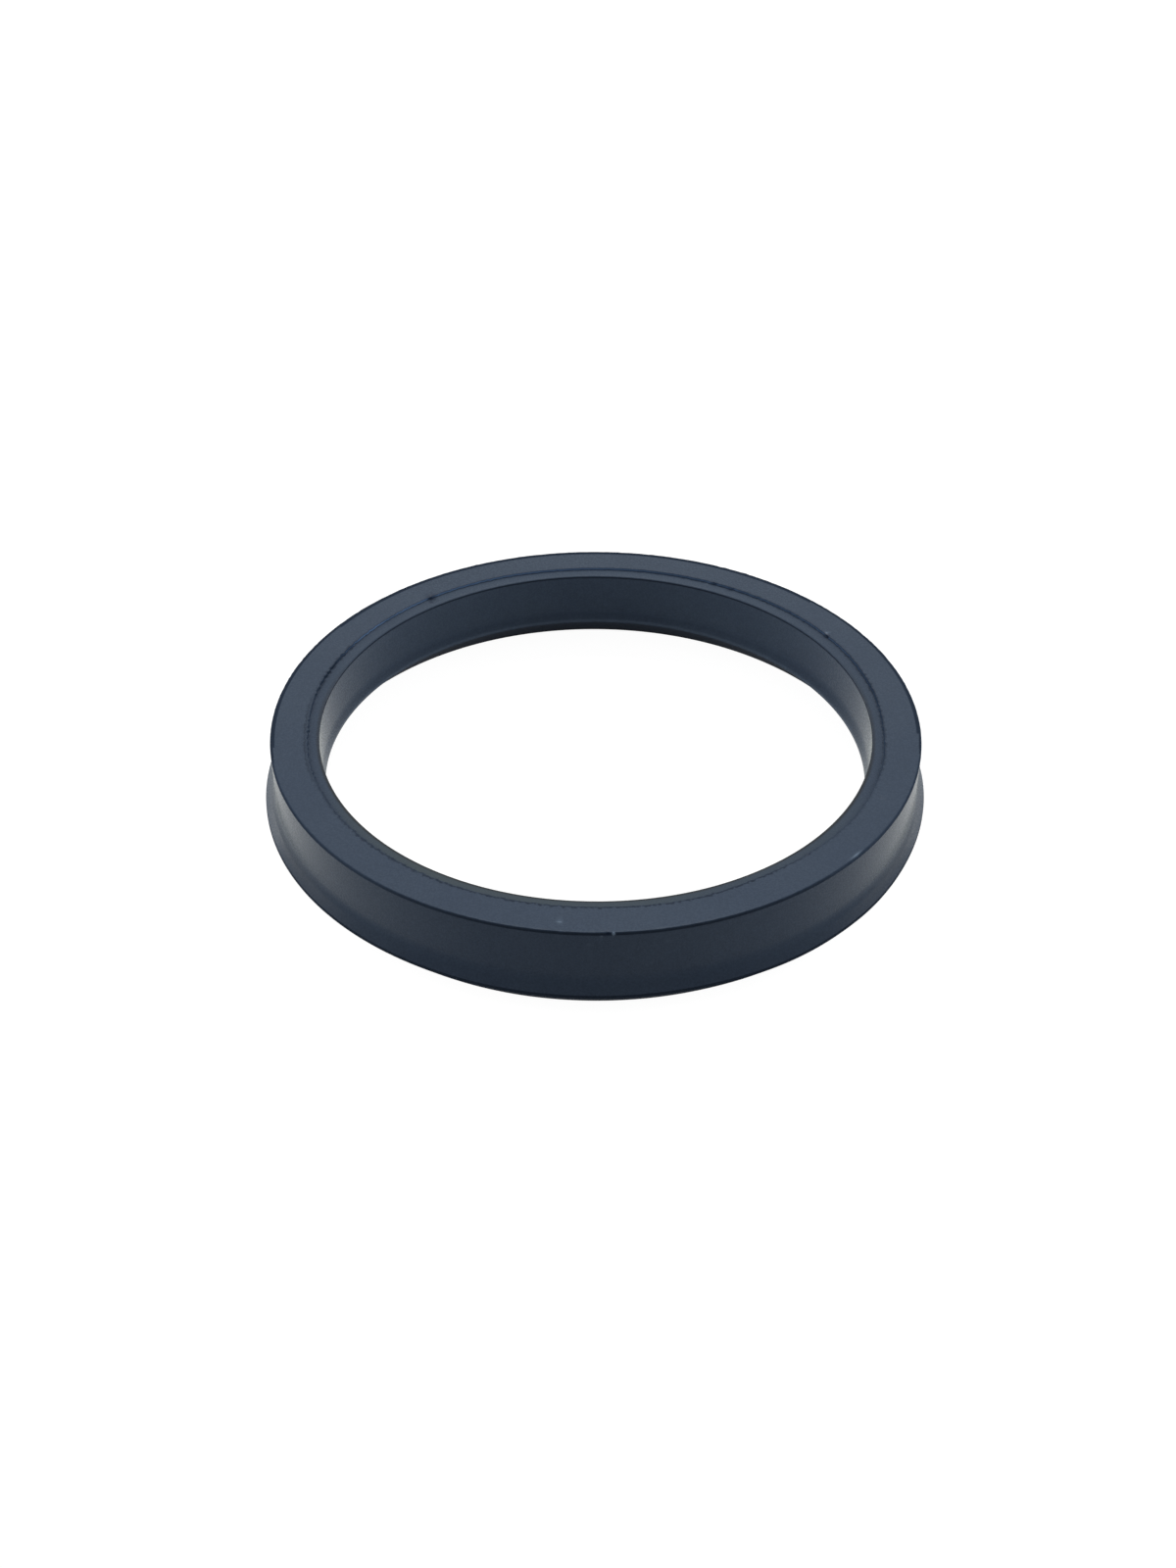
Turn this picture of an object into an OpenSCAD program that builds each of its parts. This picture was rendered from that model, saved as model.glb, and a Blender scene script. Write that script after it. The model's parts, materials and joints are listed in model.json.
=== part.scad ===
// Grooved ring seal: a one piece moulded lip seal of U section, lying on its lips with the heel up.
// The origin is the middle of the ring at the tips of the lips, and +Z points out of the heel face.

/* [Space it seals] */
// Diameter of the shaft or the piston's groove floor that the ring closes on
shaft_d = 60; // [30:0.5:120]
// Radial space between the shaft and the housing wall
section_w = 5; // [4.8:0.1:6.5]

/* [Heel] */
// Height of the ring from the tips of the lips to the heel face
height = 9.5; // [8.6:0.1:14]
// How much tighter than the shaft the heel's bore is, on the radius
heel_grip = 0.25; // [0:0.05:0.3]
// How far the heel's outer wall draws in on its way down to the lips
heel_draft = 0.15; // [0:0.05:0.3]
// Round on the outer corner of the heel face
rim_round = 0.25; // [0.05:0.05:0.6]
// Round where the heel face turns down into the bore
bore_round = 0.2; // [0.05:0.05:0.3]
// Distance from the shaft to the line on the heel face where the face steps down
face_line_w = 1.2; // [0.9:0.1:2.2]
// How far the heel face steps down at that line
face_step = 0.25; // [0.1:0.05:0.4]
// How far the band inside the line falls on its way to the bore
face_fall = 0.05; // [0:0.05:0.3]

/* [Inner lip] */
// Height at which the inner lip begins to lean towards the shaft
inner_lip_h = 4.6; // [4.2:0.1:6]
// Round where the inner lip leaves the heel's bore
inner_blend = 3; // [0.5:0.5:4]
// How far the inner lip's sealing edge stands past the shaft before fitting
inner_bite = 0.55; // [0.35:0.05:1]
// Height of the inner lip's sealing edge above the tips
inner_edge_h = 3.1; // [1.6:0.1:3.3]
// Distance from the shaft to the inner lip's tip
inner_tip_w = 2.35; // [1.6:0.05:2.6]

/* [Outer lip] */
// Height at which the outer lip begins to lean towards the housing wall
outer_lip_h = 3.4; // [3.2:0.1:6]
// Round where the outer lip leaves the heel's outer wall
outer_blend = 1.5; // [0.5:0.25:2]
// How far the outer lip's sealing edge stands past the housing wall before fitting
outer_bite = 0.95; // [0.3:0.05:1.5]
// Height of the outer lip's sealing edge above the tips
outer_edge_h = 2; // [1.2:0.1:2.4]
// Distance from the housing wall back to the outer lip's tip
outer_tip_w = 0.8; // [0.3:0.1:1]

/* [Both lips] */
// Height of the narrow cylindrical land on each sealing edge
edge_land = 0.3; // [0.2:0.05:0.5]
// Width of the flat that each lip stands on
tip_flat = 0.2; // [0.1:0.05:0.3]

/* [Groove between the lips] */
// Depth of the groove from the tips of the lips to its floor
groove_depth = 4.5; // [3.5:0.1:5.5]
// Width of the groove's floor
groove_floor = 1; // [0.8:0.05:1.4]
// Distance from the shaft to the near side of the groove's floor
groove_inset = 2.1; // [1.6:0.05:2.6]
// Round in both corners of the groove's floor
groove_round = 0.4; // [0.1:0.05:0.4]

/* [Hidden] */
blue_grey = [0.27, 0.31, 0.36];
shaft_r = shaft_d / 2;
band_h = height - face_step;
arc_step = 6;
around_fn = 240;

// Corners of the section as [distance from the shaft, height above the tips, round on the corner]
section = [
    [face_line_w, height, 0],
    [face_line_w, band_h, 0],
    [-heel_grip, band_h - face_fall, bore_round],
    [-heel_grip, inner_lip_h, inner_blend],
    [-inner_bite, inner_edge_h + edge_land / 2, 0],
    [-inner_bite, inner_edge_h - edge_land / 2, 0],
    [inner_tip_w, 0, 0],
    [inner_tip_w + tip_flat, 0, 0],
    [groove_inset, groove_depth, groove_round],
    [groove_inset + groove_floor, groove_depth, groove_round],
    [section_w - outer_tip_w - tip_flat, 0, 0],
    [section_w - outer_tip_w, 0, 0],
    [section_w + outer_bite, outer_edge_h - edge_land / 2, 0],
    [section_w + outer_bite, outer_edge_h + edge_land / 2, 0],
    [section_w - heel_draft, outer_lip_h, outer_blend],
    [section_w, height, rim_round],
];

function flat(corner) = [corner.x, corner.y];
function unit(v) = v / norm(v);
function direction(v) = atan2(v.y, v.x);

// One corner of an outline, as the point itself or as the points of the arc that rounds it.
// The arc takes at most half of each side that meets there.
function rounded_corner(before, corner, after) =
    corner[2] == 0 ? [flat(corner)] :
    let (
        to_before = flat(before) - flat(corner),
        to_after = flat(after) - flat(corner),
        back = unit(to_before),
        on = unit(to_after),
        half = acos(back * on) / 2,
        r = min(corner[2], tan(half) * min(norm(to_before), norm(to_after)) / 2),
        centre = flat(corner) + unit(back + on) * r / sin(half),
        start = direction(flat(corner) + back * r / tan(half) - centre),
        sweep = sign(cross(on, back)) * (180 - 2 * half),
        steps = ceil(abs(sweep) / arc_step)
    )
    [for (i = [0 : steps]) centre + r * [cos(start + sweep * i / steps), sin(start + sweep * i / steps)]];

function rounded_outline(corners) =
    let (n = len(corners))
    [for (i = [0 : n - 1]) each rounded_corner(corners[(i + n - 1) % n], corners[i], corners[(i + 1) % n])];

module grooved_ring() {
    color(blue_grey)
        rotate_extrude($fn = around_fn)
            translate([shaft_r, 0])
                polygon(rounded_outline(section));
}

grooved_ring();
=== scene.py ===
"""The look of the grooved ring seal: the moulded ring with its finish and painted light and shade, on a pale
floor.

The ring turns about +Z and stands on the tips of its lips at z = 0. Angles run in degrees from +X
towards +Y, so 0 is right, 90 is the far side and 270 is the near side. The ring's sizes are in
millimetres, and MM turns them into the frame's metres.
"""
import json
import math

import bpy
import numpy as np
from mathutils import Matrix, Vector


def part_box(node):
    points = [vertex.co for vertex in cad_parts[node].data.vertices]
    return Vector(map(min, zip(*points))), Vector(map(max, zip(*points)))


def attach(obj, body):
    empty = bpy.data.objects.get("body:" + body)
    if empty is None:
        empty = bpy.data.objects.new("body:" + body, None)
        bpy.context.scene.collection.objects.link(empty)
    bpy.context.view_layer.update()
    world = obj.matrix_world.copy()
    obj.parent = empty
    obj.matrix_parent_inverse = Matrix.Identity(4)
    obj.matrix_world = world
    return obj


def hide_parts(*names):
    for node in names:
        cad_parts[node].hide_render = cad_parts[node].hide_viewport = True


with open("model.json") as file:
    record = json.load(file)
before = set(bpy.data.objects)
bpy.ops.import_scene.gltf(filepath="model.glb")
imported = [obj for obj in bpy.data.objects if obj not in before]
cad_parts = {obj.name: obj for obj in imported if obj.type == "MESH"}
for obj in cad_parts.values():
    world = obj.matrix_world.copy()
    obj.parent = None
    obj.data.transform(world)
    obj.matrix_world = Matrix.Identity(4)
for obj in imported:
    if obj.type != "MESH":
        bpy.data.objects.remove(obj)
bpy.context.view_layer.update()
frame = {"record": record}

NODE = "grooved_ring"
MM = 0.001
MOUNTS = {m["name"]: m for m in frame["record"]["mounts"]}

# Sizes that the frame gives
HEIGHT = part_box(NODE)[1].z / MM
OUTER_EDGE_R = MOUNTS["housing_lip"]["dims"]["r_mm"]
OUTER_EDGE_H = MOUNTS["housing_lip"]["pos_m"][2] / MM
INNER_EDGE_R = MOUNTS["shaft_lip"]["dims"]["r_mm"]
INNER_EDGE_H = MOUNTS["shaft_lip"]["pos_m"][2] / MM
LAND = MOUNTS["shaft_lip"]["dims"]["length_mm"]

# Sizes of the section that the frame doesn't name, as in the part's source
SHAFT_R = 30.0
HOUSING_R = 35.0
BORE_R = SHAFT_R - 0.25
HEEL_DRAFT = 0.15
RIM_ROUND = 0.25
BORE_ROUND = 0.2
LINE_R = SHAFT_R + 1.2
BAND_H = HEIGHT - 0.25
FACE_FALL = 0.05
INNER_LIP_H = 4.6
INNER_BLEND = 3.0
INNER_TIP_R = SHAFT_R + 2.35
OUTER_LIP_H = 3.4
OUTER_BLEND = 1.5
OUTER_TIP_R = HOUSING_R - 0.8
TIP_FLAT = 0.2
GROOVE_DEPTH = 4.5
GROOVE_R = SHAFT_R + 2.1
GROOVE_FLOOR = 1.0
GROOVE_ROUND = 0.4

# Edges that are sharp in the part's source get the small round of a moulded or trimmed edge
EDGE_ROUND = 0.05

# Mesh density. Rows of the section start FIRST_GAP from each corner, and each gap is GAP_GROWTH times the
# one before it, or HIDDEN_GROWTH times in the groove. Arcs turn ARC_STEP a row, in LEAST_STEPS or more.
SEGMENTS = 480
FIRST_GAP = 0.05
GAP_GROWTH = 4.0
HIDDEN_GROWTH = 8.0
ARC_STEP = math.radians(20)
LEAST_STEPS = 2

# Each mark adds segments at these shares of its half length. It adds rows at these shares of its half
# width to a side of the section that it lies within NEAR_SIDE of. Places that agree to SAME_DECIMALS
# count as one.
MARK_LENGTHS = (-2, -1.4, -1, -0.6, -0.3, 0, 0.3, 0.6, 1, 1.4, 2)
MARK_WIDTHS = (-1.2, 0, 1.2)
NEAR_SIDE = 0.04
SAME_DECIMALS = 3

# Unevenness around the ring as (angle, millimetres). Below LIP_HINGE_H the lips stand a little off the
# heel's centre.
LIP_SHIFT = (-0.08, 0.05)
LIP_HINGE_H = 5.0
LIP_WANDER = [
    (0, 0), (205, -0.03), (238, -0.08), (260, 0), (285, 0.03), (303, 0.13), (318, 0.04), (336, -0.08),
]
LINE_WANDER = [
    (0, -0.26), (14, -0.15), (28, 0), (45, 0.05), (72, 0.03), (98, -0.04), (112, 0.08), (126, 0.13),
    (140, 0.02), (165, -0.08), (183, -0.26), (197, -0.12), (212, -0.03), (240, -0.06), (269, -0.16),
    (287, 0.03), (301, -0.19), (329, 0.13), (343, 0),
]
LINE_TEETH = [(0, 0.03), (30, 0.02), (142, 0.02), (156, 0.06), (232, 0.06), (246, 0.03)]

# Fine unevenness as (longest wave, shortest wave, depth, seed), with the waves in degrees. The teeth take
# their depth from LINE_TEETH. The rim's unevenness ends RIM_REACH rounds from the heel's outer edge.
RAGGED_WAVES = 14
LINE_RAGGED = (9, 2, 0.02, 4)
TEETH_RAGGED = (2.8, 1.3, 1.0, 5)
RIM_RAGGED_OUT = (12, 1.5, 0.012, 7)
RIM_RAGGED_UP = (12, 1.5, 0.01, 8)
RIM_REACH = 1.3

# How strongly the line on the face shows by angle, and its second strand STRAND_OUT outside it, a dark trim
# line that is partly painted shade in its step's crease, strongest on the near side. The line
# is full within LINE_CORE of its middle and ends at LINE_END, and the strand likewise. Noise of
# LINE_TORN_SIZE tears both by up to LINE_TORN.
LINE_DARK = [
    (0, 0.7), (14, 0.9), (30, 0.6), (60, 0.45), (90, 0.1), (134, 0.1), (148, 0.2), (154, 0.75), (164, 0.7),
    (172, 0.4), (190, 0.4), (205, 0.5), (226, 0.85), (250, 1), (300, 1), (309, 0.75), (315, 0.35),
    (336, 0.3), (345, 0.6),
]
STRAND_DARK = [(0, 0), (168, 0), (176, 0.7), (196, 0.7), (204, 0), (350, 0)]
STRAND_OUT = 0.33
LINE_CORE = 0.1
LINE_END = 0.3
STRAND_CORE = 0.03
STRAND_END = 0.14
LINE_TORN = 0.16
LINE_TORN_SIZE = 0.38

# The distance from the line where there is no line near
FAR_FROM_LINE = 9.0

# The band inside the line: where it begins and where its grey is full, as distances from the line, how
# far it turns from blue to grey as a painted reflection on the near side, and how much paler it is as
# painted light on the far side, or darker below 0 as painted shade on the near side
BAND_FROM = -0.15
BAND_FULL = -0.4
BAND_REFLECTION_SHARE = [
    (0, 0), (200, 0), (218, 0.6), (236, 1), (255, 0.8), (275, 0.7), (295, 0.4), (315, 0.35), (340, 0),
]
BAND_PAINTED_LIGHT = [
    (0, 0), (40, 0.03), (60, 0.06), (120, 0.06), (150, 0.03), (180, 0), (280, 0), (300, -0.06), (345, -0.06),
]

# How much paler the inner lip's edge is on the far side, as a painted highlight, half the width of its
# pale belt, and how far out from the edge the belt reaches
LIP_EDGE_HIGHLIGHT = [(0, 0), (20, 0.3), (160, 0.3), (180, 0)]
LIP_HIGHLIGHT_WIDE = 0.2
LIP_HIGHLIGHT_DEEP = 0.25

# How much darker the inner lip's flare is there, as painted shade, at which height, and the same two sizes
# from the bore
LIP_FLARE_SHADE = [(0, 0), (20, -0.25), (160, -0.25), (180, 0)]
LIP_SHADE_H = 3.85
LIP_SHADE_WIDE = 0.35
LIP_SHADE_DEEP = 0.1

# How far the outer lip's flare is paler at both sides, as a painted reflection of the side lights, at which
# height, and half its belt's width
FLARE_PAINTED_SHEEN = [(0, 0.22), (15, 0), (165, 0), (180, 0.22), (205, 0.22), (225, 0), (315, 0), (335, 0.22)]
FLARE_SHEEN_H = 3.0
FLARE_SHEEN_WIDE = 0.6

# How pale and blue the small step at the line is painted, as light on its shaded wall
STEP_PAINTED_LIGHT = [
    (0, 0.1), (40, 0.4), (70, 0.6), (90, 1), (115, 1), (128, 0.9), (135, 1), (139, 0.6), (143, 1),
    (148, 0.8), (153, 0.3), (160, 0),
]

# How dark the strip beside the heel's edge at the bore is, as painted shade along that edge, its width, and
# the part that fades
BORE_EDGE_SHADE = [(0, 0.5), (30, 0), (150, 0), (180, 0.5), (205, 0.9), (335, 0.9)]
BORE_SHADE_WIDE = 0.48
BORE_SHADE_FADE = 0.18

# How dark the trimmed edge round the top of the heel is, partly its cut finish and partly painted shade
# that is darkest on the near side, and how far in it reaches
RIM_TRIM_AND_SHADE = [
    (0, 0.8), (180, 0.8), (200, 0.7), (228, 0.4), (240, 0.75), (252, 0.95), (266, 1), (290, 1), (305, 0.8),
    (316, 0.4), (326, 0.4), (340, 0.7),
]
RIM_TRIM_WIDE = 0.17

# Width of the dark trimmed strip on top beside that edge, painted shade along the far side's outer edge, its
# widest, and how it fades
RIM_SHADE_STRIP = [
    (0, 0.45), (20, 0.45), (40, 0.6), (70, 0.7), (118, 0.7), (140, 0.65), (160, 0.5), (185, 0.45), (200, 0),
    (340, 0),
]
STRIP_WIDEST = 0.7
STRIP_FADE = 0.2

# How far down from the band the trimmed edge at the bore reaches, and how far from the bore's wall, or in
# from the outer lip's edge, a face still has that wall's or edge's finish
BORE_TRIM_DOWN = 0.3
BORE_TRIM_NEAR = 0.03
BORE_WALL_NEAR = 0.01
OUTER_EDGE_NEAR = 0.1

# Marks as (angle, radius, height, half length, half width, depth, tone). A depth below 0 stands proud,
# and a tone is how much darker (below 0) or paler (above 0) the spot is: the dark tones paint the shade in
# the dents and nicks, and the pale ones are partly pale flecks and partly painted highlights on their edges.
MARKS = [
    # The pit at the line on the far left, and a shallow dark dent beside it
    (127.7, 31.2, 9.4, 0.5, 0.5, 0.1, -0.9),
    (128.6, 30.6, 9.25, 0.3, 0.25, 0.06, -0.5),
    # Nicks at the line on the far right, with a pale burr
    (63.2, 31.1, 9.4, 0.32, 0.16, 0.06, -0.9),
    (64.9, 31, 9.3, 0.22, 0.12, -0.02, 0.5),
    (59.3, 30.98, 9.35, 0.4, 0.18, 0.05, -0.8),
    # The pit at the line on the right, with a pale fleck
    (32.4, 31.2, 9.4, 0.36, 0.24, 0.1, -1),
    (33.2, 31.5, 9.5, 0.2, 0.13, -0.03, 1.1),
    # The nick in the front edge, with the pale fleck that stands out of it
    (271.8, 34.95, 9.4, 0.25, 0.2, 0.12, -0.9),
    (272.7, 34.97, 9.38, 0.13, 0.15, -0.08, 2),
    # On the heel face: a pale fleck, a pale streak at the edge that is a painted highlight, and three dark
    # spots
    (263.9, 33.54, 9.5, 0.26, 0.12, 0, 0.9),
    (318.5, 34.75, 9.5, 0.75, 0.1, -0.02, 1),
    (312.9, 31.15, 9.45, 0.3, 0.24, 0.06, -1.4),
    (335.2, 32.33, 9.5, 0.15, 0.13, 0.05, -0.3),
    (226.7, 31.05, 9.45, 0.5, 0.14, 0.04, -0.5),
    # Pale specks on the front wall
    (270.8, 35, 9.1, 0.12, 0.1, 0, 0.5),
    (268.9, 34.96, 8, 0.3, 0.2, 0, 0.12),
    (281.3, 34.96, 8, 0.3, 0.2, 0, 0.1),
]


def unit(v):
    return v / np.linalg.norm(v)


def around(keys, turn):
    """The value at each angle of turn, easing from key to key; keys are (angle, value) from 0 up."""
    angles = np.array([angle for angle, value in keys] + [keys[0][0] + 360])
    values = np.array([value for angle, value in keys] + [keys[0][1]])
    i = np.searchsorted(angles, turn, side="right") - 1
    part = (turn - angles[i]) / (angles[i + 1] - angles[i])
    part = part * part * (3 - 2 * part)
    return values[i] + (values[i + 1] - values[i]) * part


def ragged(turn, longest, shortest, depth, seed):
    """Fine unevenness: waves of random lengths between the longest and the shortest, in degrees."""
    rng = np.random.default_rng(seed)
    waves = rng.integers(round(360 / longest), round(360 / shortest), RAGGED_WAVES)
    starts = rng.uniform(0, 2 * math.pi, len(waves))
    total = sum(np.sin(np.radians(turn * n) + start) for n, start in zip(waves, starts))
    return depth * total / math.sqrt(len(waves) / 2)


def corners():
    """The section's corners as (radius, height, round), from the step on the face round by the bore."""
    return [
        (LINE_R, HEIGHT, EDGE_ROUND),
        (LINE_R, BAND_H, EDGE_ROUND),
        (BORE_R, BAND_H - FACE_FALL, BORE_ROUND),
        (BORE_R, INNER_LIP_H, INNER_BLEND),
        (INNER_EDGE_R, INNER_EDGE_H + LAND / 2, EDGE_ROUND),
        (INNER_EDGE_R, INNER_EDGE_H - LAND / 2, EDGE_ROUND),
        (INNER_TIP_R, 0.0, EDGE_ROUND),
        (INNER_TIP_R + TIP_FLAT, 0.0, EDGE_ROUND),
        (GROOVE_R, GROOVE_DEPTH, GROOVE_ROUND),
        (GROOVE_R + GROOVE_FLOOR, GROOVE_DEPTH, GROOVE_ROUND),
        (OUTER_TIP_R - TIP_FLAT, 0.0, EDGE_ROUND),
        (OUTER_TIP_R, 0.0, EDGE_ROUND),
        (OUTER_EDGE_R, OUTER_EDGE_H - LAND / 2, EDGE_ROUND),
        (OUTER_EDGE_R, OUTER_EDGE_H + LAND / 2, EDGE_ROUND),
        (HOUSING_R - HEEL_DRAFT, OUTER_LIP_H, OUTER_BLEND),
        (HOUSING_R, HEIGHT, RIM_ROUND),
    ]


def rounded_corner(before, corner, after):
    """The points of the arc that rounds a corner."""
    point, r = np.array(corner[:2]), corner[2]
    back = unit(np.array(before[:2]) - point)
    on = unit(np.array(after[:2]) - point)
    half = math.acos(float(back @ on)) / 2
    centre = point + unit(back + on) * r / math.sin(half)
    first = point + back * r / math.tan(half) - centre
    turn = math.copysign(math.pi - 2 * half, on[0] * back[1] - on[1] * back[0])
    steps = LEAST_STEPS if r == EDGE_ROUND else max(LEAST_STEPS, math.ceil(abs(turn) / ARC_STEP))
    start = math.atan2(first[1], first[0])
    angles = [start + turn * i / steps for i in range(steps + 1)]
    return [centre + r * np.array([math.cos(a), math.sin(a)]) for a in angles]


def in_groove(r, z):
    return z <= GROOVE_DEPTH and INNER_TIP_R < r < OUTER_TIP_R


def straight_rows(a, b):
    """Points between a and b: close together near both ends, and on each side of a mark between them.

    The heel face also gets one where the dark strip beside its outer edge, painted shade, is widest.
    """
    length = float(np.linalg.norm(b - a))
    growth = HIDDEN_GROWTH if in_groove(*(a + b) / 2) else GAP_GROWTH
    step = FIRST_GAP
    along = FIRST_GAP
    half = []
    while along < length / 2:
        half.append(along)
        step *= growth
        along += step
    places = half + [length - t for t in half]
    for _, r, z, _, half_width, _, _ in MARKS:
        middle = (np.array([r, z]) - a) @ (b - a) / length
        beside = np.linalg.norm(np.array([r, z]) - a - (b - a) * middle / length)
        if beside < NEAR_SIDE and half_width < middle < length - half_width:
            places += [middle + side * half_width for side in MARK_WIDTHS]
    if min(a[1], b[1]) > HEIGHT - EDGE_ROUND / 2:
        places.append(a[0] - HOUSING_R + STRIP_WIDEST)
    kept = sorted(set(np.round(places, SAME_DECIMALS)))
    return [a + (b - a) * t / length for t in kept if 0 < t < length]


def section():
    """The closed section as arrays of radius, height and the two parts of the outward normal."""
    marks = corners()
    n = len(marks)
    bends = [rounded_corner(marks[i - 1], marks[i], marks[(i + 1) % n]) for i in range(n)]
    points = []
    for i, bend in enumerate(bends):
        points += bend
        points += straight_rows(bend[-1], bends[(i + 1) % n][0])
    p = np.array(points)
    ahead = np.roll(p, -1, axis=0) - p
    ahead /= np.linalg.norm(ahead, axis=1)[:, None]
    along = ahead + np.roll(ahead, 1, axis=0)
    along /= np.linalg.norm(along, axis=1)[:, None]
    return p[:, 0], p[:, 1], along[:, 1], -along[:, 0]


def turns():
    """The angles of the mesh's segments, closer together beside each mark."""
    angles = set(np.round(np.arange(SEGMENTS) * 360 / SEGMENTS, SAME_DECIMALS))
    for angle, r, _, half_length, _, _, _ in MARKS:
        beside = angle + np.degrees(half_length / r) * np.array(MARK_LENGTHS)
        angles |= set(np.round(beside, SAME_DECIMALS))
    return np.array(sorted(angles))


def lip_share(z):
    """How far each row moves with the lips: not at all above their hinge, fully at the outer lip's edge."""
    return np.clip((LIP_HINGE_H - z) / (LIP_HINGE_H - OUTER_EDGE_H), 0, 1)


def line_share(r, z):
    """How far each row follows the line on the face: fully at the line, not at all at the heel's edges."""
    on_top = z > BAND_H - FACE_FALL - EDGE_ROUND
    inside = (r - BORE_R) / (LINE_R - BORE_R)
    outside = (HOUSING_R - RIM_ROUND - r) / (HOUSING_R - RIM_ROUND - LINE_R)
    return np.clip(np.minimum(inside, outside), 0, 1) * on_top


def rim_share(r, z):
    """How far each row follows the unevenness of the heel's outer edge."""
    return np.clip(RIM_REACH - np.hypot(HOUSING_R - r, HEIGHT - z) / RIM_ROUND, 0, 1)


def ring_points(turn, r, z, nr, nz):
    """Each vertex's radius and height, its tone from the marks, and its distance from the line."""
    outer = r > GROOVE_R + GROOVE_FLOOR / 2
    out = lip_share(z) * outer * around(LIP_WANDER, turn)
    wander = around(LINE_WANDER, turn) + ragged(turn, *LINE_RAGGED)
    wander = wander + around(LINE_TEETH, turn) * ragged(turn, *TEETH_RAGGED)
    out = out + line_share(r, z) * wander
    out = out + rim_share(r, z) * ragged(turn, *RIM_RAGGED_OUT)
    up = rim_share(r, z) * ragged(turn, *RIM_RAGGED_UP)
    tone = np.zeros_like(out)
    for angle, mark_r, mark_z, half_length, half_width, depth, mark_tone in MARKS:
        beside = np.radians(turn - angle) * mark_r / half_length
        across = np.hypot(r - mark_r, z - mark_z) / half_width
        share = np.exp(-beside ** 2 - across ** 2)
        out = out - depth * share * nr
        up = up - depth * share * nz
        tone = tone + mark_tone * share
    from_line = np.where(z > BAND_H - 2 * EDGE_ROUND, r - LINE_R, FAR_FROM_LINE)
    return r + out, z + up, tone, from_line


def on_step(r, z):
    """Whether a place is on the small step at the line, above its foot."""
    return (abs(r - LINE_R) < EDGE_ROUND) & (z > BAND_H + EDGE_ROUND / 2)


def finish(r, z):
    """The finish at a place on the section: the heel's two edges and the lips' bevels are cut or trimmed."""
    rim = r > HOUSING_R - RIM_TRIM_WIDE and z > HEIGHT - 2 * RIM_TRIM_WIDE
    bore = r < BORE_R + BORE_TRIM_NEAR and z > BAND_H - FACE_FALL - BORE_TRIM_DOWN
    outer_bevel = z < OUTER_EDGE_H - LAND / 2 and r > OUTER_TIP_R
    outer_edge = r > OUTER_EDGE_R - OUTER_EDGE_NEAR
    inner_bevel = z < INNER_EDGE_H - LAND / 2 and r < INNER_TIP_R
    if rim or bore or outer_bevel or outer_edge or inner_bevel or on_step(r, z):
        return CUT
    # The bore's wall takes the paler copy of the skin, painted light
    inside = r < BORE_R + BORE_WALL_NEAR and z > INNER_EDGE_H - LAND / 2
    return BORE_LIT if inside else SKIN


def finishes(turn, r, z):
    """The finish of each face, from the middles of the section's sides. The strip on top goes by angle."""
    slots = np.tile(np.array([finish(*at) for at in zip(r, z)], np.int32), (len(turn), 1))
    # The dark strip on top of the heel by angle: painted shade with the trimmed finish
    strip = (r > HOUSING_R - around(RIM_SHADE_STRIP, turn)) & (z > HEIGHT - RIM_ROUND)
    slots[strip] = CUT
    return slots


def belt(z, middle, wide):
    """1 at the middle height, fading out above and below it."""
    return np.exp(-((z - middle) / wide) ** 2)


def bore_edge_shade(turn, r, z):
    """How dark the painted shade in the strip beside the heel's edge at the bore is."""
    strip = np.clip((BORE_R + BORE_SHADE_WIDE - r) / BORE_SHADE_FADE, 0, 1)
    return around(BORE_EDGE_SHADE, turn) * strip * (z > BAND_H - FACE_FALL - BORE_ROUND)


def cut_dark_and_shade(turn, r, z):
    """How dark the trimmed finish is: full on the bevels and at the bore, none on the step at the line, and
    by angle on the heel's outer edge, partly painted shade, and on the strip beside it, painted shade.
    """
    on_top = (r > LINE_R + EDGE_ROUND) & (r < HOUSING_R - RIM_TRIM_WIDE) & (z > HEIGHT - RIM_ROUND)
    on_rim = (r > HOUSING_R - RIM_TRIM_WIDE) & (z > HEIGHT / 2)
    strip = np.clip((r - HOUSING_R + around(RIM_SHADE_STRIP, turn)) / STRIP_FADE + 1, 0, 1)
    dark = np.where(on_top, strip, np.where(on_rim, around(RIM_TRIM_AND_SHADE, turn), 1.0))
    return np.where(on_step(r, z), 0.0, dark)


def values_at(turn, r, z, tone, from_line):
    """The values that the materials read at each vertex, by name."""
    lip_edge_highlight = belt(z, INNER_EDGE_H + LAND / 4, LIP_HIGHLIGHT_WIDE) * (r < INNER_EDGE_R + LIP_HIGHLIGHT_DEEP)
    lip_flare_shade = belt(z, LIP_SHADE_H, LIP_SHADE_WIDE) * (r < BORE_R + LIP_SHADE_DEEP)
    outer_flare_sheen = belt(z, FLARE_SHEEN_H, FLARE_SHEEN_WIDE) * (r > HOUSING_R - 2 * HEEL_DRAFT)
    # Painted light and shade on the band: paler on the far side, darker on the near side
    tone = tone + around(BAND_PAINTED_LIGHT, turn) * (from_line < BAND_FROM)
    # Painted highlight on the inner lip's edge, on the far side
    tone = tone + around(LIP_EDGE_HIGHLIGHT, turn) * lip_edge_highlight
    # Painted shade on the inner lip's flare, on the far side
    tone = tone + around(LIP_FLARE_SHADE, turn) * lip_flare_shade
    return {
        "flare_painted_sheen": around(FLARE_PAINTED_SHEEN, turn) * outer_flare_sheen,
        "tone": tone,
        "from_line": from_line,
        "line_dark": around(LINE_DARK, turn),
        "strand_dark": around(STRAND_DARK, turn),
        "band_painted_reflection": around(BAND_REFLECTION_SHARE, turn),
        "step_painted_light": around(STEP_PAINTED_LIGHT, turn) * (on_step(r, z) & (z < HEIGHT - EDGE_ROUND / 2)),
        "bore_edge_shade": bore_edge_shade(turn, r, z),
        "cut_dark_and_shade": cut_dark_and_shade(turn, r, z),
    }


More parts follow.
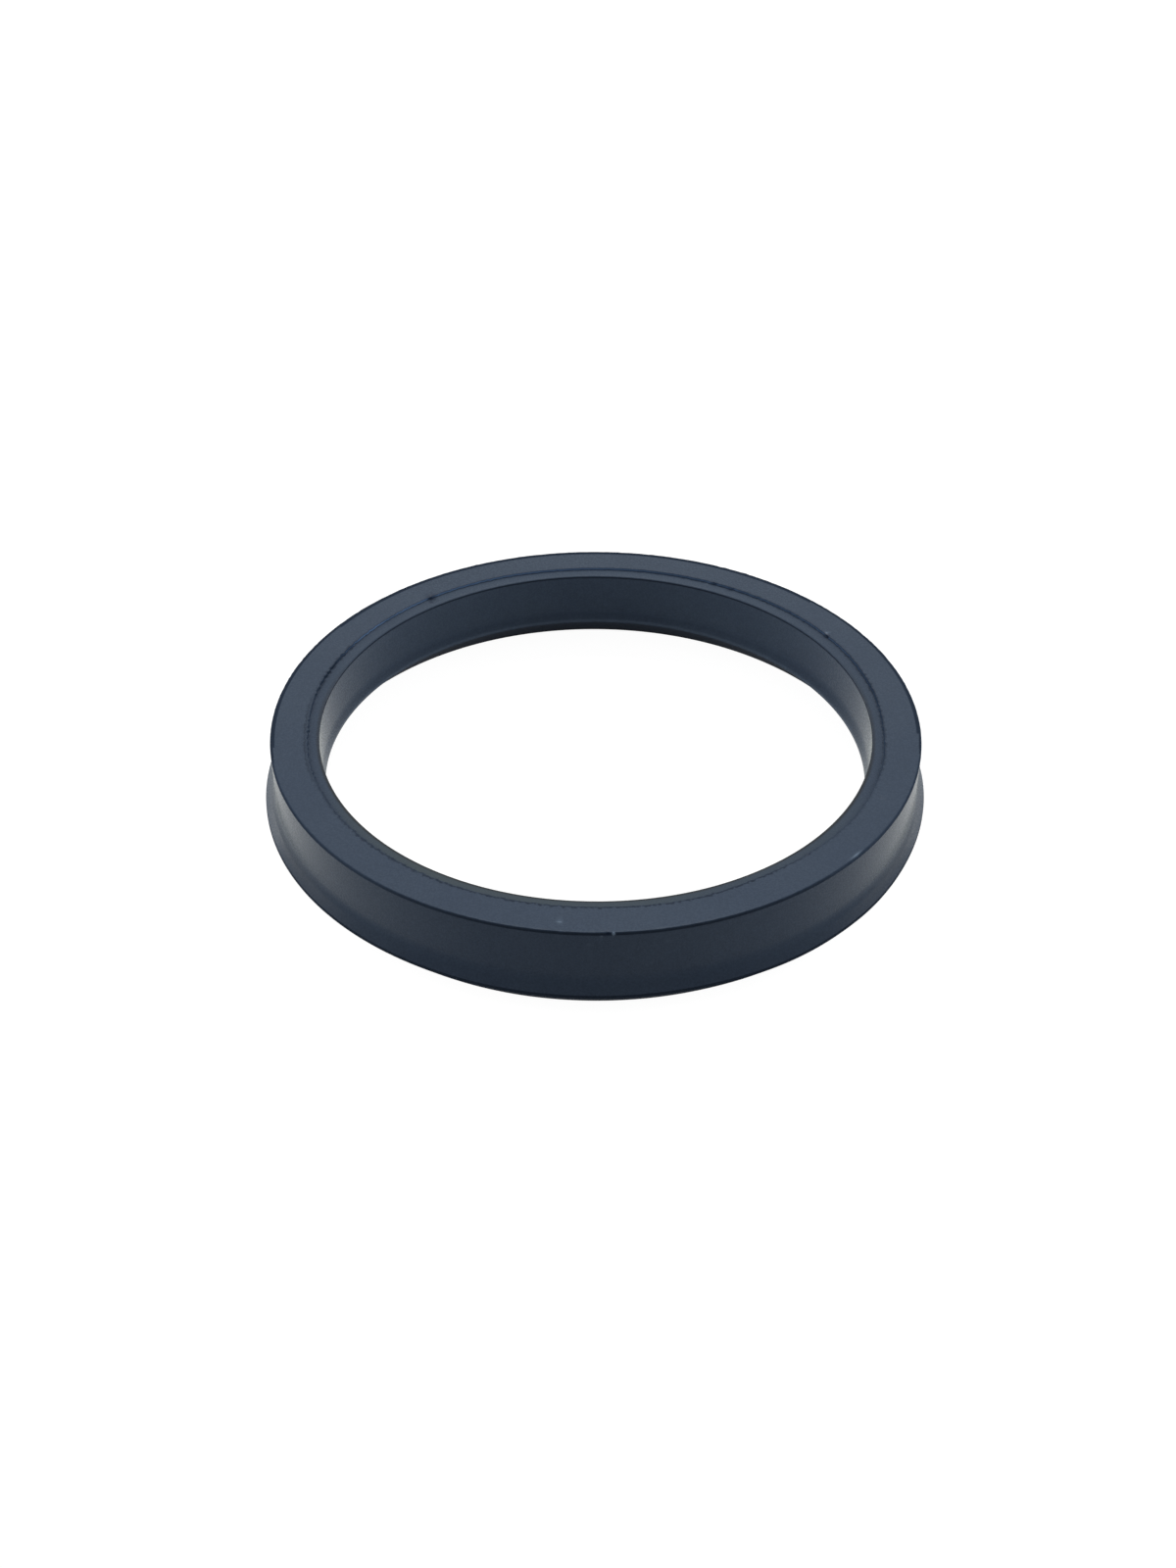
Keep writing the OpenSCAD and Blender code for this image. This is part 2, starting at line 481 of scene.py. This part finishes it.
def ring_mesh(name):
    r, z, nr, nz = section()
    turn = turns()[:, None]
    rows, segments = len(r), len(turn)
    radius, height, tone, from_line = ring_points(turn, r, z, nr, nz)
    x = radius * np.cos(np.radians(turn)) + lip_share(z) * LIP_SHIFT[0]
    y = radius * np.sin(np.radians(turn)) + lip_share(z) * LIP_SHIFT[1]
    co = np.stack([x, y, height], axis=2) * MM
    seg, row = np.meshgrid(np.arange(segments), np.arange(rows), indexing="ij")
    seg_on, row_on = (seg + 1) % segments, (row + 1) % rows
    ends = [seg * rows + row, seg_on * rows + row, seg_on * rows + row_on, seg * rows + row_on]
    quads = np.stack(ends, axis=2)
    mesh = bpy.data.meshes.new(name)
    mesh.from_pydata(co.reshape(-1, 3).tolist(), [], quads.reshape(-1, 4).tolist())
    mesh.shade_smooth()
    slots = finishes(turn, (r + np.roll(r, -1)) / 2, (z + np.roll(z, -1)) / 2)
    mesh.polygons.foreach_set("material_index", slots.ravel())
    for value_name, values in values_at(turn, r, z, tone, from_line).items():
        layer = mesh.attributes.new(value_name, "FLOAT", "POINT")
        layer.data.foreach_set("value", np.broadcast_to(values, tone.shape).astype(np.float32).ravel())
    mesh.update()
    return mesh


# Noise values mostly lie in this span
NOISE_SPAN = (0.3, 0.7)
NOISE_DETAIL = 3.0


class Nodes:
    """Short calls that add nodes to a material or world and link them."""

    def __init__(self, tree):
        self.tree = tree

    def add(self, kind, inputs=None, **settings):
        node = self.tree.nodes.new(kind)
        for key, value in settings.items():
            setattr(node, key, value)
        for key, value in (inputs or {}).items():
            if isinstance(value, bpy.types.NodeSocket):
                self.tree.links.new(value, node.inputs[key])
            else:
                node.inputs[key].default_value = value
        return node

    def math(self, operation, *values):
        return self.add("ShaderNodeMath", dict(enumerate(values)), operation=operation).outputs[0]

    def attribute(self, name):
        return self.add("ShaderNodeAttribute", attribute_name=name).outputs["Fac"]

    def noise(self, place, size, detail=NOISE_DETAIL):
        """Noise from 0 to 1 whose patches are about size millimetres across."""
        inputs = {"Vector": place, "Scale": 1 / (size * MM), "Detail": detail}
        return self.add("ShaderNodeTexNoise", inputs).outputs["Fac"]

    def ramp(self, value, low, high, to_low=0.0, to_high=1.0, kind="LINEAR"):
        inputs = {"Value": value, "From Min": low, "From Max": high, "To Min": to_low, "To Max": to_high}
        return self.add("ShaderNodeMapRange", inputs, interpolation_type=kind).outputs["Result"]

    def spread(self, noise, low, high):
        """Noise spread from low to high."""
        return self.ramp(noise, *NOISE_SPAN, low, high)

    def stripe(self, distance, core, end):
        """1 where the distance is under core on either side, easing to 0 at end."""
        return self.ramp(self.math("ABSOLUTE", distance), core, end, 1.0, 0.0, kind="SMOOTHSTEP")

    def mix(self, factor, a, b, blend="MIX"):
        """A mix of two colours, whose sockets on the node are 6 and 7, and 2 for the result."""
        inputs = {0: factor, 6: a, 7: b}
        return self.add("ShaderNodeMix", inputs, data_type="RGBA", blend_type=blend).outputs[2]


BLUE_GREY = (0.0325, 0.0478, 0.0755, 1)
BLUE_GREY_PALE = (0.0365, 0.0525, 0.08, 1)
# The bore's wall: the skin's colours made paler, as painted light
BORE_LIT_BLUE_GREY = (0.037, 0.0545, 0.0855, 1)
BORE_LIT_PALE = (0.041, 0.0595, 0.09, 1)
CUT_BLUE_GREY = (0.018, 0.026, 0.041, 1)
# Painted shade along the heel's edge at the bore
BORE_EDGE_SHADE_GREY = (0.017, 0.019, 0.022, 1)
# Painted reflection on the band inside the line, on the near side
BAND_REFLECTION_GREY = (0.043, 0.057, 0.068, 1)
# Painted reflection of the side lights on the outer lip's flare
FLARE_SHEEN_PALE = (0.155, 0.165, 0.17, 1)
# The line's dark: a trim line, partly painted shade in its crease
LINE_DEEP = (0.009, 0.017, 0.033, 1)
# Painted light on the small step's shaded wall
STEP_LIT_BLUE = (0.12, 0.2, 0.355, 1)
# Painted shade for the pits and dents, and for the shaded band and lip flare
PIT_SHADE_BLUE = (0.008, 0.015, 0.033, 1)
# Pale flecks, and painted highlights on nicks, on the band and on the lip's edge
FLECK_AND_HIGHLIGHT_PALE = (0.115, 0.155, 0.21, 1)
SKIN_ROUGH = 0.27
SKIN_IOR = 1.11
SHEEN = 0.3
SHEEN_ROUGH = 0.35
SHEEN_TINT = (0.97, 1, 0.88, 1)
CUT_ROUGH = 0.5
CUT_IOR = 1.02

# The skin's noises: how wide their patches are, how much mottle and grain change the tint, how much the
# grain changes the roughness, and how deep the relief is, with the mottle's share in it
CLOUD = 9.0
MOTTLE = 0.9
GRAIN = 0.2
GRAIN_DETAIL = 2.0
MOTTLE_TINT = (0.975, 1.025)
GRAIN_TINT = (0.93, 1.07)
GRAIN_ROUGH = 0.03
RELIEF = 0.009
MOTTLE_RELIEF = 0.2

# The ring's finishes as (colour, its paler clouds, roughness, IOR, sheen, whether it is cut), in the order
# of its material slots
FINISHES = {
    "moulded_skin": (BLUE_GREY, BLUE_GREY_PALE, SKIN_ROUGH, SKIN_IOR, SHEEN, False),
    "moulded_bore_lit": (BORE_LIT_BLUE_GREY, BORE_LIT_PALE, SKIN_ROUGH, SKIN_IOR, SHEEN, False),
    "trimmed_edge_and_shade": (BLUE_GREY, BLUE_GREY_PALE, CUT_ROUGH, CUT_IOR, 0.0, True),
}
SKIN, BORE_LIT, CUT = range(len(FINISHES))


def polyurethane(name, colour, pale, roughness, ior, sheen, cut):
    """Moulded polyurethane: clouded, mottled and matt grained, with its line, its marks and painted light
    and shade.
    """
    mat = bpy.data.materials.new(name)
    mat.use_nodes = True
    shader = mat.node_tree.nodes["Principled BSDF"]
    n = Nodes(mat.node_tree)
    place = n.add("ShaderNodeTexCoord").outputs["Object"]
    cloud = n.noise(place, CLOUD)
    mottle = n.noise(place, MOTTLE)
    grain = n.noise(place, GRAIN, GRAIN_DETAIL)

    tint = n.mix(n.spread(cloud, 0.0, 1.0), colour, pale)
    # The trimmed finish darker, with painted shade along the heel's outer edge and the strip beside it
    if cut:
        tint = n.mix(n.attribute("cut_dark_and_shade"), tint, CUT_BLUE_GREY)
    speckle = n.math("MULTIPLY", n.spread(mottle, *MOTTLE_TINT), n.spread(grain, *GRAIN_TINT))
    tint = n.mix(1.0, tint, speckle, blend="MULTIPLY")

    from_line = n.attribute("from_line")
    # Painted reflection: the band greyer on the near side
    band = n.math("MULTIPLY", n.ramp(from_line, BAND_FROM, BAND_FULL), n.attribute("band_painted_reflection"))
    tint = n.mix(band, tint, BAND_REFLECTION_GREY)
    # Painted reflection: the outer lip's flare paler at both sides
    tint = n.mix(n.attribute("flare_painted_sheen"), tint, FLARE_SHEEN_PALE)
    # The dark line and its strand on the face: a trim line, partly painted shade in the step's crease
    line = n.math("ADD", from_line, n.spread(n.noise(place, LINE_TORN_SIZE), -LINE_TORN, LINE_TORN))
    near = n.stripe(line, LINE_CORE, LINE_END)
    near_strand = n.stripe(n.math("SUBTRACT", line, STRAND_OUT), STRAND_CORE, STRAND_END)
    dark = n.math("MULTIPLY", near, n.attribute("line_dark"))
    dark = n.math("MAXIMUM", dark, n.math("MULTIPLY", near_strand, n.attribute("strand_dark")))
    tint = n.mix(n.math("MINIMUM", dark, 1.0), tint, LINE_DEEP)
    # Painted light: the step at the line paler and bluer than its shade
    tint = n.mix(n.attribute("step_painted_light"), tint, STEP_LIT_BLUE)
    # Painted shade along the heel's edge at the bore, on the near side and the sides
    tint = n.mix(n.attribute("bore_edge_shade"), tint, BORE_EDGE_SHADE_GREY)
    tone = n.attribute("tone")
    # Painted shade and highlights from the marks, the band and the lip, and the pale flecks
    tint = n.mix(n.ramp(tone, 0.0, -1.0), tint, PIT_SHADE_BLUE)
    tint = n.mix(n.ramp(tone, 0.0, 1.0), tint, FLECK_AND_HIGHLIGHT_PALE)
    n.tree.links.new(tint, shader.inputs["Base Color"])

    rough = n.spread(grain, roughness - GRAIN_ROUGH, roughness + GRAIN_ROUGH)
    n.tree.links.new(rough, shader.inputs["Roughness"])
    shader.inputs["IOR"].default_value = ior
    shader.inputs["Sheen Weight"].default_value = sheen
    shader.inputs["Sheen Roughness"].default_value = SHEEN_ROUGH
    shader.inputs["Sheen Tint"].default_value = SHEEN_TINT

    bumps = n.math("ADD", grain, n.math("MULTIPLY", mottle, MOTTLE_RELIEF))
    bump = n.add("ShaderNodeBump", {"Height": bumps, "Distance": RELIEF * MM, "Strength": 1.0})
    n.tree.links.new(bump.outputs["Normal"], shader.inputs["Normal"])
    return mat


def make_ring():
    ring = bpy.data.objects.new("moulded_ring", ring_mesh("moulded_ring"))
    bpy.context.scene.collection.objects.link(ring)
    for name, look in FINISHES.items():
        ring.data.materials.append(polyurethane(name, *look))
    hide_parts(NODE)
    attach(ring, "root")


# The camera's place, fitted to the ring's outlines in the photo
IMAGE_LONG_PX = 1600
FOCAL_PX = 2361.5
LOOK_DOWN = math.radians(37.17)
ROLL = math.radians(0.064)
DISTANCE = 249.9
HEEL_RIGHT_PX = 7.8
HEEL_UP_PX = 64.4
SENSOR = 36.0
CLIP_START = 0.01
CLIP_END = 20.0


def make_camera():
    forward = Vector((0, math.cos(LOOK_DOWN), -math.sin(LOOK_DOWN)))
    right = Vector((1, 0, 0))
    up = right.cross(forward)
    heel = Vector((0, 0, HEIGHT))
    side = right * HEEL_RIGHT_PX + up * HEEL_UP_PX
    place = heel - forward * DISTANCE - side * DISTANCE / FOCAL_PX
    data = bpy.data.cameras.new("camera")
    data.sensor_width = SENSOR
    data.lens = SENSOR * FOCAL_PX / IMAGE_LONG_PX
    data.clip_start = CLIP_START
    data.clip_end = CLIP_END
    camera = bpy.data.objects.new("camera", data)
    axes = Matrix((right, up, -forward)).transposed()
    camera.matrix_world = Matrix.Translation(place * MM) @ (axes @ Matrix.Rotation(ROLL, 3, "Z")).to_4x4()
    bpy.context.scene.collection.objects.link(camera)
    bpy.context.scene.camera = camera


# The floor lights the ring as a pale floor does, and shows nearly white, with the shadow kept lighter.
# In front it is darker, as where whoever takes the picture stands in the light. It is sized in metres.
FLOOR_HALF = 2.0
FLOOR_PALE = (0.88, 0.88, 0.88, 1)
FLOOR_FRONT = (0.35, 0.35, 0.35, 1)
FRONT_FROM = -35.0
FRONT_TO = -60.0
FLOOR_WHITE = 1.2
SHADOW_KEPT = 0.2


def seen(n):
    """1 for the rays that show a background: the camera's, and those a surface mirrors or lets through."""
    path = n.add("ShaderNodeLightPath")
    shown = n.math("MAXIMUM", path.outputs["Is Camera Ray"], path.outputs["Is Glossy Ray"])
    return n.math("MAXIMUM", shown, path.outputs["Is Transmission Ray"])


def make_floor():
    mesh = bpy.data.meshes.new("floor")
    h = FLOOR_HALF
    mesh.from_pydata([(-h, -h, 0), (h, -h, 0), (h, h, 0), (-h, h, 0)], [], [(0, 1, 2, 3)])
    floor = bpy.data.objects.new("floor", mesh)
    bpy.context.scene.collection.objects.link(floor)
    mat = bpy.data.materials.new("white_floor")
    mat.use_nodes = True
    n = Nodes(mat.node_tree)
    place = n.add("ShaderNodeSeparateXYZ", {0: n.add("ShaderNodeTexCoord").outputs["Object"]})
    front = n.ramp(place.outputs["Y"], FRONT_FROM * MM, FRONT_TO * MM, kind="SMOOTHSTEP")
    pale = n.add("ShaderNodeBsdfDiffuse", {"Color": n.mix(front, FLOOR_PALE, FLOOR_FRONT)})
    white = n.add("ShaderNodeEmission", {"Strength": FLOOR_WHITE})
    share = n.math("MULTIPLY", seen(n), 1 - SHADOW_KEPT)
    both = n.add("ShaderNodeMixShader", {0: share, 1: pale.outputs[0], 2: white.outputs[0]})
    n.tree.links.new(both.outputs[0], mat.node_tree.nodes["Material Output"].inputs["Surface"])
    floor.data.materials.append(mat)


# The room: a soft lamp high behind the ring, two soft boxes on each side, and weak light all round, which
# is stronger at the sides. Each box is (degrees behind the side, degrees up, width, height, brightness),
# and it is sized and placed in metres.
LAMP_TILT = math.radians(-30)
LAMP_ANGLE = math.radians(25)
LAMP_LEVEL = 0.69
BOX_AWAY = 0.6
BOXES = [(38, 8, 0.24, 0.18, 9.2), (10, 20, 0.32, 0.2, 3.8)]
ROOM_FRONT = 0.24
ROOM_BACK = 0.25
ROOM_SIDES = 0.9
ROOM_SIDES_POWER = 4.0


def make_lamp(name, data, place=(0, 0, 0), turn=(0, 0, 0)):
    lamp = bpy.data.objects.new(name, data)
    lamp.location = place
    lamp.rotation_euler = turn
    bpy.context.scene.collection.objects.link(lamp)


def make_box(name, side, behind, up, width, height, level):
    """A soft box that faces the ring, on the right for a side of 1 and on the left for -1."""
    data = bpy.data.lights.new(name, "AREA")
    data.shape = "RECTANGLE"
    data.size = width
    data.size_y = height
    data.energy = level * math.pi * width * height
    behind, up = math.radians(behind), math.radians(up)
    place = Vector((side * math.cos(behind) * math.cos(up), math.sin(behind) * math.cos(up), math.sin(up)))
    make_lamp(name, data, place * BOX_AWAY, place.to_track_quat("Z", "Y").to_euler())


def make_light():
    world = bpy.data.worlds.new("studio")
    bpy.context.scene.world = world
    world.use_nodes = True
    n = Nodes(world.node_tree)
    side = n.add("ShaderNodeSeparateXYZ", {0: n.add("ShaderNodeTexCoord").outputs["Generated"]})
    room = n.ramp(side.outputs["Y"], -1.0, 1.0, ROOM_FRONT, ROOM_BACK)
    sideways = n.math("POWER", n.math("ABSOLUTE", side.outputs["X"]), ROOM_SIDES_POWER)
    room = n.math("ADD", room, n.math("MULTIPLY", sideways, ROOM_SIDES))
    level = n.add("ShaderNodeMix", {0: seen(n), 2: room, 3: 1.0}, data_type="FLOAT")
    background = world.node_tree.nodes["Background"]
    n.tree.links.new(level.outputs[0], background.inputs["Strength"])
    background.inputs["Color"].default_value = (1, 1, 1, 1)
    data = bpy.data.lights.new("overhead", "SUN")
    data.energy = LAMP_LEVEL * math.pi
    data.angle = LAMP_ANGLE
    make_lamp("overhead", data, turn=(LAMP_TILT, 0, 0))
    for i, box in enumerate(BOXES):
        make_box("right_box_%d" % (i + 1), 1, *box)
        make_box("left_box_%d" % (i + 1), -1, *box)


bpy.context.scene.view_settings.view_transform = "Standard"
make_camera()
make_floor()
make_light()
make_ring()
